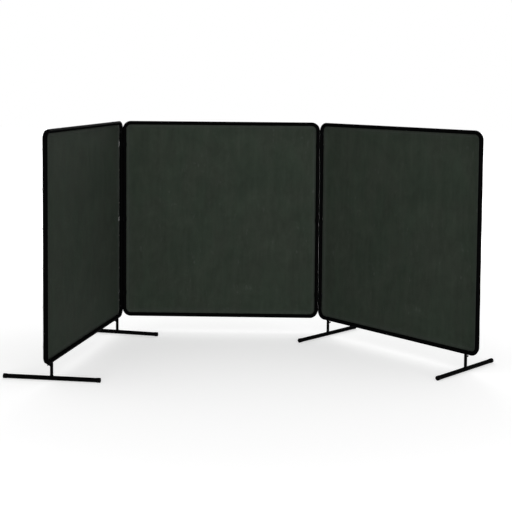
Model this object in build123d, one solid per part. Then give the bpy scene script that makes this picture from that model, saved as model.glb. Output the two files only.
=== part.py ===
from build123d import *
import os
from math import cos, radians, sin, sqrt

# Three-panel welding screen. Lengths are in millimetres, +Z is up and the front faces -Y.
# Each panel is a knock-down frame of round steel tube with a cloth cover snapped to its back.
# Double clips join the panels and turn on both tubes, and each side panel stands on two T feet.
# The origin lies on the floor, in the middle of the whole screen's footprint.

# Panel frames
panel_width = 1828.8
panel_height = 1828.8
floor_gap = 139.7  # floor to the underside of the bottom rails
tube_diameter = 33.4
tube_wall = 1.65
bend_radius = 60.0  # of a corner bend's centre line
spigot_length = 50.8
spigot_wall = 1.5
spigot_fit = 0.1
shoulder_length = 4.0  # the swaged step from a bend to its spigot

# Angles of the side panels, folded forward from a straight line
left_fold = 79.8
right_fold = 47.3

# Screws that lock the spigots
joint_screw_radius = 2.1
joint_screw_length = 7.5
joint_head_radius = 4.2
joint_head_height = 2.6
joint_head_round = 1.4
drive_width = 2.5
drive_depth = 1.2
screw_hole_fit = 0.05

# Snaps
snaps_per_side = 6
stud_base_radius = 6.0
stud_base_thickness = 1.0
stud_neck_radius = 2.2
stud_head_radius = 3.0
stud_head_height = 1.6
stud_screw_radius = 1.8
stud_screw_length = 8.0
stud_hole_fit = 0.05
snap_gap = 0.2  # left between a stud and what is pressed on it
cap_radius = 7.6
cap_height = 3.4
cap_round = 2.4
socket_radius = 6.6
socket_thickness = 0.8
barrel_radius = 4.4

# Cloth covers
cloth_thickness = 0.8
cloth_gap = 0.3  # between the cloth and any metal
hem_width = 50.8
cover_inset = 7.7  # from the frame's outer edge to the cloth's edge
notch_clearance = 1.5  # round a hinge clip

# Hinge clips
tube_gap = 2.6  # between the stiles of neighbouring panels
clip_height = 38.0
clip_wall = 3.0
clip_fit = 0.08
clip_mouth_angle = 110.0
clip_height_shares = {"upper": 0.88, "middle": 0.5, "lower": 0.12}

# T feet
post_inset = 127.0  # from a panel's edge to a post's centre line
stub_diameter = 22.225
stub_wall = 2.1
stub_length = 88.9  # below the rail
swivel_fit = 0.0875
post_wall = 1.5
post_gap = 0.3  # between a post's top and the rail
foot_length = 787.4
bar_diameter = 34.925
bar_wall = 1.65
end_cap_wall = 1.6
end_cap_cover = 25.4
end_cap_end = 2.5
end_cap_fit = 0.05
end_cap_round = 1.5
end_cap_flat = 0.6  # how deep the moulded flat cuts into a cap's underside
foot_turns = {"left_front": 3.3, "left_back": -1.8, "right_front": 3.8, "right_back": 3.7}  # off square

# Set screws of the feet
set_screw_drop = 20.0  # below the rail
set_screw_radius = 4.0
set_screw_free = 9.0  # thread that shows between the nut and the head
set_screw_tip_gap = 0.1
set_head_width = 13.0
set_head_height = 5.3
weld_nut_width = 13.0
weld_nut_height = 6.5
thread_fit = 0.05

# Worked out from the sizes above
tube_radius = tube_diameter / 2
tube_bore = tube_radius - tube_wall
spigot_radius = tube_bore - spigot_fit
spigot_bore = spigot_radius - spigot_wall
stile_offset = panel_width / 2 - tube_radius
bend_offset = stile_offset - bend_radius
rail_length = 2 * bend_offset
stile_length = panel_height - 2 * (tube_radius + bend_radius)
hinge_pitch = tube_diameter + tube_gap
socket_front = tube_radius + stud_base_thickness + snap_gap
cover_front = socket_front + socket_thickness + cloth_gap
cover_back = cover_front + 2 * cloth_thickness
cap_front = cover_back + cloth_gap
stud_top = cap_front
clip_bore = tube_radius + clip_fit
clip_radius = clip_bore + clip_wall
notch_half = clip_height / 2 + notch_clearance
notch_reach = sqrt(max(clip_radius**2 - cover_front**2, 0)) + notch_clearance
stub_radius = stub_diameter / 2
post_bore = stub_radius + swivel_fit
post_radius = post_bore + post_wall
post_offset = panel_width / 2 - post_inset
bar_radius = bar_diameter / 2
bar_length = foot_length - 2 * end_cap_end
end_cap_bore = bar_radius + end_cap_fit
end_cap_radius = end_cap_bore + end_cap_wall
bar_height = end_cap_radius - end_cap_flat
overrun = tube_diameter  # how far a cutting tool runs past what it cuts

TO_X = Rot(0, 90, 0)
TO_BACK = Rot(-90, 0, 0)
UP = (Align.CENTER, Align.CENTER, Align.MIN)


def rod(radius, length):
    """A solid round bar that stands on the origin."""
    return Cylinder(radius, length, align=UP)


def ring(outer, inner, length):
    """A round tube that stands on the origin."""
    profile = Circle(outer) - Circle(inner)
    return extrude(profile, length)


def hexagon(width, length):
    """A hexagonal prism that stands on the origin, by its width across flats."""
    return extrude(RegularPolygon(width / 2, 6, major_radius=False), length)


def joint_screw():
    """A pan-head screw on +Z, with the underside of its head on the origin."""
    head = rod(joint_head_radius, joint_head_height)
    head = fillet(head.edges().sort_by(Axis.Z)[-1], joint_head_round)
    drive = Pos(0, 0, joint_head_height - drive_depth) * hexagon(drive_width, joint_head_height)
    shank = Pos(0, 0, -joint_screw_length) * rod(joint_screw_radius, joint_screw_length)
    return head - drive + shank


def corner_bend():
    """A bend about the origin, from a stile at -X to a bottom rail at -Z, and its screws' places."""
    profile = Plane.XY * Pos(-bend_radius, 0) * (Circle(tube_radius) - Circle(tube_bore))
    elbow = revolve(profile, Axis.Y, -90)
    shoulder = ring((tube_radius + tube_bore) / 2, spigot_bore, shoulder_length)
    spigot = ring(spigot_radius, spigot_bore, spigot_length)
    stile_end = Pos(-bend_radius, 0, 0)
    rail_end = Pos(0, 0, -bend_radius) * TO_X
    bend = elbow
    for end in (stile_end, rail_end):
        bend += end * (Pos(0, 0, -shoulder_length) * shoulder + spigot)
    along = spigot_length / 2
    places = [
        Pos(-bend_radius + tube_radius, 0, along) * TO_X,
        Pos(along, 0, -bend_radius + tube_radius),
    ]
    for place in places:
        bend -= place * screw_drill()
    return bend, places


def screw_drill():
    """What drills a joint screw's hole, in the same place as the screw."""
    return Pos(0, 0, -tube_radius) * rod(joint_screw_radius + screw_hole_fit, tube_radius)


def corners():
    """The places of the four bends in a panel, counted round from the bottom left."""
    bottom = tube_radius + bend_radius
    top = panel_height - bottom
    return [
        Pos(-bend_offset, 0, bottom),
        Pos(-bend_offset, 0, top) * Rot(0, 90, 0),
        Pos(bend_offset, 0, top) * Rot(0, 180, 0),
        Pos(bend_offset, 0, bottom) * Rot(0, 270, 0),
    ]


def snap_shares():
    """The middles of equal lengths of a side, as shares of it."""
    return [(2 * step + 1) / (2 * snaps_per_side) for step in range(snaps_per_side)]


def snap_places():
    """The places of a panel's snaps on the back of its tubes, with +Z pointing back."""
    places = []
    for share in snap_shares():
        for side in (-stile_offset, stile_offset):
            places.append(Pos(side, 0, share * panel_height) * TO_BACK)
        for height in (tube_radius, panel_height - tube_radius):
            places.append(Pos(share * panel_width - panel_width / 2, 0, height) * TO_BACK)
    return places


def snap_stud():
    """A screwed stud. The tube's centre line passes through the origin, and +Z points back."""
    base = Pos(0, 0, tube_radius) * rod(stud_base_radius, stud_base_thickness)
    neck = Pos(0, 0, tube_radius) * rod(stud_neck_radius, stud_top - tube_radius)
    head = Pos(0, 0, stud_top - stud_head_height) * rod(stud_head_radius, stud_head_height)
    screw = Pos(0, 0, tube_radius - stud_screw_length) * rod(stud_screw_radius, stud_screw_length)
    return base + neck + head + screw


def snap_cap():
    """A cap and socket crimped through the hem, in the same place as its stud."""
    button = rod(cap_radius, cap_height)
    button = fillet(button.edges().sort_by(Axis.Z)[-1], cap_round)
    barrel = Pos(0, 0, socket_front) * rod(barrel_radius, cap_front - socket_front)
    socket = Pos(0, 0, socket_front) * rod(socket_radius, socket_thickness)
    bore = rod(stud_head_radius + snap_gap, stud_top + snap_gap)
    return Pos(0, 0, cap_front) * button + barrel + socket - bore


def reaches(tool, tube):
    """Whether two boxes meet, so that only near tools are cut."""
    first, second = tool.bounding_box(), tube.bounding_box()
    return all(
        low <= top and bottom <= high
        for low, high, bottom, top in zip(first.min, first.max, second.min, second.max)
    )


def cover(notched_sides):
    """The cloth sheet with its hem folded to the front, its snap holes and its clip notches."""
    middle = panel_height / 2
    width = panel_width - 2 * cover_inset
    height = panel_height - 2 * cover_inset
    corner = tube_radius + bend_radius - cover_inset
    inner = max(corner - hem_width, cloth_thickness)
    outline = RectangleRounded(width, height, corner)
    opening = RectangleRounded(width - 2 * hem_width, height - 2 * hem_width, inner)
    sheet = extrude(Plane.XZ * outline, -cloth_thickness)
    hem = extrude(Plane.XZ * (outline - opening), -cloth_thickness)
    back_ply = Pos(0, cover_front + cloth_thickness, middle) * sheet
    cloth = back_ply + Pos(0, cover_front, middle) * hem
    hole = Pos(0, 0, cover_front - overrun) * rod(barrel_radius + cloth_gap, 2 * overrun)
    for place in snap_places():
        cloth -= place * hole
    for side in notched_sides:
        outer_edge = stile_offset + overrun
        inner_edge = stile_offset - notch_reach
        for share in clip_height_shares.values():
            notch = Box(outer_edge - inner_edge, 2 * overrun, 2 * notch_half)
            at = side * (outer_edge + inner_edge) / 2
            cloth -= Pos(at, cover_front, share * panel_height) * notch
    return cloth


def panel(side_names, notched_sides):
    """The pieces of one panel, in its own frame: bottom edge on Z zero, tubes on Y zero."""
    bend, screw_places = corner_bend()
    screw = joint_screw()
    corner_places = corners()
    screw_spots = [corner * place for corner in corner_places for place in screw_places]
    tools = [spot * screw_drill() for spot in screw_spots]
    stud_drill = rod(stud_screw_radius + stud_hole_fit, tube_diameter)
    tools += [place * stud_drill for place in snap_places()]
    rail = TO_X * ring(tube_radius, tube_bore, rail_length)
    stile = ring(tube_radius, tube_bore, stile_length)
    bottom = tube_radius + bend_radius
    tubes = {
        "bottom_rail": Pos(-bend_offset, 0, tube_radius) * rail,
        "top_rail": Pos(-bend_offset, 0, panel_height - tube_radius) * rail,
        side_names[0]: Pos(-stile_offset, 0, bottom) * stile,
        side_names[1]: Pos(stile_offset, 0, bottom) * stile,
    }
    pieces = {}
    for name, tube in tubes.items():
        for tool in tools:
            if reaches(tool, tube):
                tube -= tool
        pieces[name] = [tube]
    stud, cap = snap_stud(), snap_cap()
    pieces["corner_bends"] = [corner * bend for corner in corner_places]
    pieces["joint_screws"] = [spot * screw for spot in screw_spots]
    pieces["cover"] = [cover(notched_sides)]
    pieces["snap_studs"] = [place * stud for place in snap_places()]
    pieces["snap_caps"] = [place * cap for place in snap_places()]
    return pieces


def hinge_clip():
    """A double clip about the point midway between two tubes, its mouths to the front."""
    jaws = Sketch()
    bores = Sketch()
    mouths = Sketch()
    lips = Sketch()
    half = radians(clip_mouth_angle / 2)
    lip_arm = clip_bore + clip_wall / 2
    reach = clip_radius + overrun
    for axis_x in (-hinge_pitch / 2, hinge_pitch / 2):
        jaws += Pos(axis_x, 0) * Circle(clip_radius)
        bores += Pos(axis_x, 0) * Circle(clip_bore)
        left = (axis_x - reach * sin(half), -reach * cos(half))
        right = (axis_x + reach * sin(half), -reach * cos(half))
        low = (axis_x, -reach)
        mouths += make_face(Polyline((axis_x, 0), left, low, right, close=True))
        for turn in (-half, half):
            lips += Pos(axis_x + lip_arm * sin(turn), -lip_arm * cos(turn)) * Circle(clip_wall / 2)
    outline = jaws - mouths + lips - bores
    return Pos(0, 0, -clip_height / 2) * extrude(outline, clip_height)


def foot_stub():
    """A stub under a bottom rail, coped to it. The panel's bottom edge is on Z zero."""
    tall = stub_length + tube_radius
    stub = Pos(0, 0, -stub_length) * ring(stub_radius, stub_radius - stub_wall, tall)
    rail = Pos(0, 0, tube_radius) * TO_X * Cylinder(tube_radius, 2 * overrun)
    return stub - rail


def t_foot():
    """The pieces of one foot about its post's centre line, with the floor on Z zero."""
    bar_axis = Pos(0, 0, bar_height) * TO_BACK
    bar_solid = bar_axis * Cylinder(bar_radius, bar_length)
    bar = bar_solid - bar_axis * Cylinder(bar_radius - bar_wall, bar_length)
    screw_height = floor_gap - set_screw_drop
    screw_axis = Pos(0, 0, screw_height) * TO_BACK

    top = floor_gap - post_gap
    post = Pos(0, 0, bar_height) * ring(post_radius, post_bore, top - bar_height)
    post -= bar_solid
    post -= screw_axis * rod(set_screw_radius + thread_fit, overrun)

    nut_end = post_radius + weld_nut_height
    nut = screw_axis * (hexagon(weld_nut_width, nut_end) - rod(set_screw_radius + thread_fit, nut_end))
    nut -= rod(post_radius, floor_gap)

    tip = stub_radius + set_screw_tip_gap
    head_start = nut_end + set_screw_free
    screw = Pos(0, 0, tip) * rod(set_screw_radius, head_start - tip)
    screw += Pos(0, 0, head_start) * hexagon(set_head_width, set_head_height)

    end_cap = rod(end_cap_radius, end_cap_cover + end_cap_end)
    end_cap = fillet(end_cap.edges().sort_by(Axis.Z)[-1], end_cap_round)
    end_cap -= rod(end_cap_bore, end_cap_cover)
    start = bar_length / 2 - end_cap_cover
    floor = Pos(0, 0, -overrun) * Box(overrun * 2, foot_length + overrun, overrun * 2)
    caps = []
    for turn in (TO_BACK, Rot(90, 0, 0)):
        caps.append(Pos(0, 0, bar_height) * turn * Pos(0, 0, start) * end_cap - floor)
    return {
        "foot_bar": [bar],
        "post": [post],
        "end_caps": caps,
        "weld_nut": [nut],
        "set_screw": [screw_axis * screw],
    }


def side_place(side, fold):
    """Where a side panel stands: side is -1 at the left and 1 at the right."""
    half = radians(fold / 2)
    hinge_x = side * (stile_offset + hinge_pitch * cos(half))
    hinge_y = -hinge_pitch * sin(half)
    return Pos(hinge_x, hinge_y, floor_gap) * Rot(0, 0, -side * fold) * Pos(side * stile_offset, 0, 0)


def clip_place(side, fold, share):
    """Where a hinge clip sits between the middle panel and a side panel."""
    half = radians(fold / 2)
    at_x = side * (stile_offset + hinge_pitch * cos(half) / 2)
    at_y = -hinge_pitch * sin(half) / 2
    return Pos(at_x, at_y, floor_gap + share * panel_height) * Rot(0, 0, -side * fold / 2)


def placed(place, pieces, prefix):
    """The pieces moved to their place and named for it."""
    return {prefix + name: [place * solid for solid in solids] for name, solids in pieces.items()}


def screen():
    """Every piece of the screen, by name, about the middle of the middle panel."""
    nodes = {}
    centre = panel(("left_stile", "right_stile"), (-1, 1))
    nodes.update(placed(Pos(0, 0, floor_gap), centre, "centre_"))
    clip = hinge_clip()
    stub = foot_stub()
    foot = t_foot()
    for name, side, fold in (("left_", -1, left_fold), ("right_", 1, right_fold)):
        stiles = ("outer_stile", "hinge_stile") if side < 0 else ("hinge_stile", "outer_stile")
        place = side_place(side, fold)
        nodes.update(placed(place, panel(stiles, (-side,)), name))
        posts = {"front": side * post_offset, "back": -side * post_offset}
        stubs = [Pos(x, 0, 0) * stub for x in posts.values()]
        nodes.update(placed(place, {"foot_stubs": stubs}, name))
        for end, x in posts.items():
            stand = place * Pos(x, 0, -floor_gap) * Rot(0, 0, foot_turns[name + end])
            nodes.update(placed(stand, foot, f"{name}{end}_"))
        for level, share in clip_height_shares.items():
            piece = {level + "_hinge_clip": [clip]}
            nodes.update(placed(clip_place(side, fold, share), piece, name))
    return nodes


def main():
    """Centres the screen on its footprint and writes a STEP file for each piece or group."""
    nodes = {}
    for name, pieces in screen().items():
        nodes[name] = [solid for piece in pieces for solid in piece.solids()]
    box = Compound([solid for solids in nodes.values() for solid in solids]).bounding_box()
    centred = Pos(-(box.min.X + box.max.X) / 2, -(box.min.Y + box.max.Y) / 2, 0)
    os.makedirs("parts", exist_ok=True)
    for name, solids in nodes.items():
        export_step(Compound([centred * solid for solid in solids]), f"parts/{name}.step")
    print(len(nodes), "nodes; box", box.size)
    print("the middle panel stands at", centred.position)


main()
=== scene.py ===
"""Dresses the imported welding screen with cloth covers, stitching, welds, threads and finishes.

The frame's tubes, bends, snaps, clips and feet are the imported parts, with detailed materials.
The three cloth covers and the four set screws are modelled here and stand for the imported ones.
"""

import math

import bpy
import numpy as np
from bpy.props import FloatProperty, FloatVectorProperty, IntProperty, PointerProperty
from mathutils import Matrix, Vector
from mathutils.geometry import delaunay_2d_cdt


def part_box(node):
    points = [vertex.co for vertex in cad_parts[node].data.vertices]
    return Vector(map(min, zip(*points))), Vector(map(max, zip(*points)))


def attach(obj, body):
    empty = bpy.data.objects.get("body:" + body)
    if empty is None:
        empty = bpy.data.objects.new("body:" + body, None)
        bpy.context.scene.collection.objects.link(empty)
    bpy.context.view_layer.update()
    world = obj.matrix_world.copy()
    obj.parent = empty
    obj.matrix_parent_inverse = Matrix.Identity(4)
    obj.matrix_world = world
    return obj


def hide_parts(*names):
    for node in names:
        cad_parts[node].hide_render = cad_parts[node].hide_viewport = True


bl_info = {
    "name": "Welding Screen",
    "version": (1, 0, 0),
    "blender": (4, 5, 0),
    "location": "3D View > Sidebar > Welding Screen",
    "description": "Cloth covers, stitching, welds and finishes for a three-panel welding screen",
    "category": "Object",
}

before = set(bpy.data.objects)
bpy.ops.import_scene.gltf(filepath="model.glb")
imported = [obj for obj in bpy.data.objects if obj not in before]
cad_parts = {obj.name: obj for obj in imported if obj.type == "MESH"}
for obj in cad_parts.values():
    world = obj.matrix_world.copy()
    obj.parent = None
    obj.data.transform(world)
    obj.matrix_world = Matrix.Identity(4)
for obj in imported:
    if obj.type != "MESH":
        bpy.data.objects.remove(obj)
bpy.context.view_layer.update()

# The stiles at the left and right of each panel, and the side panels joined to it
STILES = {
    "centre": ("centre_left_stile", "centre_right_stile"),
    "left": ("left_outer_stile", "left_hinge_stile"),
    "right": ("right_hinge_stile", "right_outer_stile"),
}
HINGES = {"centre": {"left": -1, "right": 1}, "left": {"left": 1}, "right": {"right": -1}}
CLIP_LEVELS = ("upper", "middle", "lower")
FEET = ("left_front", "left_back", "right_front", "right_back")
TURN = 2 * math.pi
WHITE = (1.0, 1.0, 1.0)


def middle(node):
    """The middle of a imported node's box."""
    low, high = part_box(node)
    return (low + high) / 2


def extent(node):
    """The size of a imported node's box."""
    low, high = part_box(node)
    return high - low


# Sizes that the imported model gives
TUBE_RADIUS = extent("centre_bottom_rail").y / 2
PANEL_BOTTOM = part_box("centre_bottom_rail")[0].z
PANEL_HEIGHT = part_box("centre_top_rail")[1].z - PANEL_BOTTOM
COVER_WIDTH = extent("centre_cover").x
COVER_HEIGHT = extent("centre_cover").z
COVER_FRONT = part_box("centre_cover")[0].y - middle("centre_left_stile").y
MIDDLE_HEIGHT = PANEL_BOTTOM + PANEL_HEIGHT / 2


class PanelPlace:
    """Where a panel stands: its own X runs along it, its own Y points back, and Z is zero on the floor."""

    def __init__(self, name):
        first, last = (middle(node) for node in STILES[name])
        along = Vector((last.x - first.x, last.y - first.y, 0))
        self.name = name
        self.body = f"{name}_panel"
        self.stile_offset = along.length / 2
        centre = Vector(((first.x + last.x) / 2, (first.y + last.y) / 2, 0))
        self.matrix = Matrix.Translation(centre) @ Matrix.Rotation(math.atan2(along.y, along.x), 4, "Z")

    def notches(self):
        """The side and the height of each hinge clip on this panel."""
        levels = []
        for side_panel, side in HINGES[self.name].items():
            for level in CLIP_LEVELS:
                clip = f"{side_panel}_{level}_hinge_clip"
                levels.append((side, middle(clip).z, extent(clip).z / 2))
        return levels


class CoverSizes(bpy.types.PropertyGroup):
    """Sizes and colours of the cloth covers."""

    corner: FloatProperty(
        name="Corner radius", description="Radius of a cover's corners", default=0.069, unit="LENGTH")
    hem: FloatProperty(
        name="Hem width", description="Width of the hem folded to the front", default=0.0508, unit="LENGTH")
    ply: FloatProperty(
        name="Cloth thickness", description="Thickness of one layer of cloth", default=0.0008, unit="LENGTH")
    mesh_step: FloatProperty(
        name="Mesh step", description="Spacing of the cloth's points away from its edges", default=0.016,
        unit="LENGTH")
    edge_step: FloatProperty(
        name="Edge step", description="Spacing of the cloth's points along its edges", default=0.008,
        unit="LENGTH")
    slack: FloatProperty(
        name="Slack", description="Height of the gentle waves between the snaps", default=0.0016,
        unit="LENGTH")
    scallop: FloatProperty(
        name="Scallop", description="How far an edge draws in between two snaps", default=0.0012,
        unit="LENGTH")
    pucker: FloatProperty(
        name="Pucker", description="Height of the small creases round a snap", default=0.00035, unit="LENGTH")
    snaps: IntProperty(name="Snaps", description="Snaps along each side of a cover", default=6)
    thread_pitch: FloatProperty(
        name="Thread pitch", description="Spacing of the threads in the weave", default=0.0009, unit="LENGTH")
    cloth: FloatVectorProperty(
        name="Cloth colour", description="Dark olive of the canvas", default=(0.0220, 0.0293, 0.0212),
        subtype="COLOR")
    chalk: FloatVectorProperty(
        name="Scuff colour", description="Pale marks where the cloth has been rubbed",
        default=(0.060, 0.066, 0.060), subtype="COLOR")
    groove: FloatProperty(
        name="Stitch groove", description="How deep a row of stitches pulls the cloth in", default=0.00018,
        unit="LENGTH")
    slot_reach: FloatProperty(
        name="Slot reach", description="How far a clip slot reaches past the middle of its stile",
        default=0.0059, unit="LENGTH")
    slot_room: FloatProperty(
        name="Slot room", description="Room above and below a clip in its slot", default=0.0008,
        unit="LENGTH")
    binding: FloatProperty(
        name="Binding pitch", description="Spacing of the stitches round a clip slot", default=0.0011,
        unit="LENGTH")
    stitch: FloatProperty(
        name="Stitch length", description="Length of one stitch of the hem", default=0.0045, unit="LENGTH")
    thread: FloatProperty(
        name="Thread width", description="Width of the sewing thread", default=0.0008, unit="LENGTH")
    thread_colour: FloatVectorProperty(
        name="Thread colour", description="Colour of the sewing thread", default=(0.012, 0.014, 0.012),
        subtype="COLOR")


class FrameFinish(bpy.types.PropertyGroup):
    """Colours and welds of the frame and feet."""

    enamel: FloatVectorProperty(
        name="Frame enamel", description="Satin black of the frame tubes", default=(0.0016, 0.0016, 0.0017),
        subtype="COLOR")
    foot_enamel: FloatVectorProperty(
        name="Foot enamel", description="Gloss black of the feet", default=(0.0015, 0.0015, 0.0016),
        subtype="COLOR")
    bare_steel: FloatVectorProperty(
        name="Bare steel", description="Steel where the enamel has chipped", default=(0.055, 0.053, 0.050),
        subtype="COLOR")
    dust: FloatVectorProperty(
        name="Dust", description="Shop dust that settles on top", default=(0.0062, 0.0061, 0.0058),
        subtype="COLOR")
    bead: FloatProperty(
        name="Weld bead", description="Radius of the weld bead at a foot", default=0.0026, unit="LENGTH")
    tack: FloatProperty(
        name="Tack weld", description="Radius of the small welds at stubs and nuts", default=0.0013,
        unit="LENGTH")
    ripple: FloatProperty(
        name="Ripple", description="Spacing of the ripples in a weld", default=0.0022, unit="LENGTH")
    nut_weld: FloatProperty(
        name="Nut weld", description="Radius of the weld's path round a nut", default=0.0071, unit="LENGTH")
    stub: FloatProperty(
        name="Stub radius", description="Outer radius of the stubs under the rails", default=0.0111125,
        unit="LENGTH")
    stub_weld: FloatProperty(
        name="Stub weld", description="Half the angle that a weld takes round a stub",
        default=math.radians(42), unit="ROTATION")


class HardwareFinish(bpy.types.PropertyGroup):
    """Colours and threads of the snaps, screws, clips and caps."""

    nickel: FloatVectorProperty(
        name="Snap metal", description="Dulled nickel of the snaps", default=(0.34, 0.33, 0.31),
        subtype="COLOR")
    zinc: FloatVectorProperty(
        name="Screw metal", description="Black zinc of the screws", default=(0.045, 0.045, 0.048),
        subtype="COLOR")
    nylon: FloatVectorProperty(
        name="Clip nylon", description="Black nylon of the hinge clips", default=(0.0030, 0.0030, 0.0032),
        subtype="COLOR")
    vinyl: FloatVectorProperty(
        name="End cap vinyl", description="Black vinyl of the end caps", default=(0.0024, 0.0024, 0.0024),
        subtype="COLOR")
    thread_pitch: FloatProperty(
        name="Screw pitch", description="Pitch of the set screws' thread", default=0.00125, unit="LENGTH")
    thread_depth: FloatProperty(
        name="Thread depth", description="Depth of the set screws' thread", default=0.00068, unit="LENGTH")
    screw: FloatProperty(
        name="Screw radius", description="Outer radius of the set screws' thread", default=0.004,
        unit="LENGTH")
    screw_point: FloatProperty(
        name="Screw point", description="Chamfer at the point of a set screw", default=0.0006, unit="LENGTH")
    tip: FloatProperty(
        name="Screw tip", description="From a post's middle to the point of its screw", default=0.0112125,
        unit="LENGTH")
    shank_end: FloatProperty(
        name="Screw shank", description="From a post's side to the head of its screw", default=0.0155,
        unit="LENGTH")
    head_width: FloatProperty(
        name="Head width", description="Width across the flats of a screw head", default=0.013, unit="LENGTH")
    head_height: FloatProperty(
        name="Head height", description="Height of a screw head", default=0.0053, unit="LENGTH")


class StageSetting(bpy.types.PropertyGroup):
    """The floor, the lamps and the camera."""

    place: FloatVectorProperty(
        name="Camera place", description="Where the camera stands", default=(0.1634, -9.0609, 2.3637),
        unit="LENGTH")
    yaw: FloatProperty(
        name="Camera yaw", description="Turn to the right", default=math.radians(-1.221), unit="ROTATION")
    pitch: FloatProperty(
        name="Camera pitch", description="Downward tilt", default=math.radians(3.443), unit="ROTATION")
    roll: FloatProperty(
        name="Camera roll", description="Turn about the line of sight", default=math.radians(0.472),
        unit="ROTATION")
    focal: FloatProperty(
        name="Focal length", description="In picture widths", default=1066.9 / 512)
    shift: FloatProperty(
        name="Camera shift", description="Upward shift of the view, in picture widths", default=-0.22)
    floor: FloatVectorProperty(
        name="Floor colour", description="Colour of the floor", default=(0.80, 0.80, 0.80), subtype="COLOR")
    glow: FloatProperty(
        name="Floor glow", description="What the camera sees added to the lit floor", default=0.46)
    near: FloatProperty(
        name="Glow starts", description="Where the floor's glow starts to grow", default=2.2, unit="LENGTH")
    far: FloatProperty(
        name="Glow is full", description="Where the floor is plain white", default=6.0, unit="LENGTH")
    floor_size: FloatProperty(name="Floor size", description="Side of the floor", default=80.0, unit="LENGTH")
    sky: FloatProperty(name="Sky", description="Strength of the world's light", default=0.62)
    lamp: FloatProperty(
        name="Lamp", description="Power that the soft lamps share", default=230.0, unit="POWER")


class Wire:
    """An output socket of a finish, on which arithmetic adds Math nodes."""

    def __init__(self, finish, socket):
        self.finish = finish
        self.socket = socket

    def maths(self, operation, *values):
        """Adds a Math node."""
        return self.finish.add("ShaderNodeMath", {"operation": operation}, dict(enumerate(values)))

    def __add__(self, other):
        return self.maths("ADD", self, other)

    def __radd__(self, other):
        return self.maths("ADD", other, self)

    def __sub__(self, other):
        return self.maths("SUBTRACT", self, other)

    def __rsub__(self, other):
        return self.maths("SUBTRACT", other, self)

    def __mul__(self, other):
        return self.maths("MULTIPLY", self, other)

    def __rmul__(self, other):
        return self.maths("MULTIPLY", other, self)

    def __abs__(self):
        return self.maths("ABSOLUTE", self)

    def sine(self):
        """The sine of an angle in radians."""
        return self.maths("SINE", self)

    def least(self, other):
        """The smaller of two values."""
        return self.maths("MINIMUM", self, other)

    def most(self, other):
        """The larger of two values."""
        return self.maths("MAXIMUM", self, other)

    def within(self, low, high):
        """0 below low, 1 above high, and a smooth step between."""
        sockets = {"Value": self, "From Min": low, "From Max": high}
        return self.finish.add("ShaderNodeMapRange", {"interpolation_type": "SMOOTHSTEP"}, sockets)


class Finish:
    """A material, or the sky, that is built up node by node."""

    def __init__(self, name, sky=False):
        kind = "World" if sky else "Material"
        self.holder = (bpy.data.worlds if sky else bpy.data.materials).new(name)
        self.holder.use_nodes = True
        self.tree = self.holder.node_tree
        self.tree.nodes.clear()
        self.result = self.tree.nodes.new(f"ShaderNodeOutput{kind}")

    def add(self, kind, settings=None, sockets=None, output=0):
        """Adds a node: its settings first, then values or links for its sockets by name or place."""
        node = self.tree.nodes.new(kind)
        for key, value in (settings or {}).items():
            setattr(node, key, value)
        for key, value in (sockets or {}).items():
            if isinstance(value, Wire):
                self.tree.links.new(value.socket, node.inputs[key])
            else:
                node.inputs[key].default_value = value
        return Wire(self, node.outputs[output])

    def place(self):
        """Where a point is on the piece, in metres, moving with the piece."""
        return self.add("ShaderNodeTexCoord", output="Object")

    def parts(self, vector):
        """The X, Y and Z of a vector."""
        split = self.add("ShaderNodeSeparateXYZ", sockets={"Vector": vector})
        outputs = split.socket.node.outputs
        return [Wire(self, outputs[axis]) for axis in "XYZ"]

    def joined(self, x, y, z):
        """A vector, or a colour, of three numbers."""
        return self.add("ShaderNodeCombineXYZ", sockets={"X": x, "Y": y, "Z": z})

    def scaled(self, vector, scale):
        """A vector multiplied part by part."""
        return self.add("ShaderNodeVectorMath", {"operation": "MULTIPLY"}, {0: vector, 1: scale})

    def noise(self, vector, scale, detail=3.0, roughness=0.55, distortion=0.0):
        """Soft random spots, scale of them to the metre."""
        sockets = {
            "Vector": vector, "Scale": scale, "Detail": detail, "Roughness": roughness,
            "Distortion": distortion,
        }
        return self.add("ShaderNodeTexNoise", sockets=sockets)

    def mix(self, share, first, second):
        """Two colours mixed: the second by its share."""
        sockets = {0: share, 6: first, 7: second}
        return self.add("ShaderNodeMix", {"data_type": "RGBA"}, sockets, output=2)

    def bump(self, height, distance, strength=1.0, below=None):
        """A surface raised by height times distance, on top of the one below."""
        sockets = {"Height": height, "Distance": distance, "Strength": strength}
        if below is not None:
            sockets["Normal"] = below
        return self.add("ShaderNodeBump", sockets=sockets)

    def seen_plainly(self):
        """One for what the camera, gloss and glass see, and zero for what lights the screen."""
        rays = ("Is Camera Ray", "Is Glossy Ray", "Is Transmission Ray")
        camera, gloss, glass = (self.add("ShaderNodeLightPath", output=ray) for ray in rays)
        return camera.most(gloss).most(glass)

    def ends_in(self, surface):
        """Links the last node to the output."""
        self.tree.links.new(surface.socket, self.result.inputs["Surface"])
        return self.holder

    def shade(self, **sockets):
        """Ends the finish in a Principled shader. Names have their spaces as underscores."""
        named = {name.replace("_", " "): value for name, value in sockets.items()}
        return self.ends_in(self.add("ShaderNodeBsdfPrincipled", sockets=named))


def opaque(colour):
    """A colour with its alpha."""
    return (*colour, 1.0)


# Low, so that the thin black coatings don't mirror the white room along their edges
COATING_INDEX = 1.15
# Heights of the fine relief in metres
PEEL_HEIGHT, SCRATCH_HEIGHT = 0.00012, 0.00005
WEAVE_HEIGHT, CREASE_HEIGHT, TWIST_HEIGHT = 0.00028, 0.0006, 0.00008
# From one turn of the sewing thread's twist to the next
TWIST_PITCH = 0.0007
# Where the worn cloth of the hem ends, inside and outside its width, and how far the wear beside it reaches
HEM_INSIDE, HEM_OUTSIDE, BESIDE_HEM = 0.0012, 0.0006, 0.04


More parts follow.
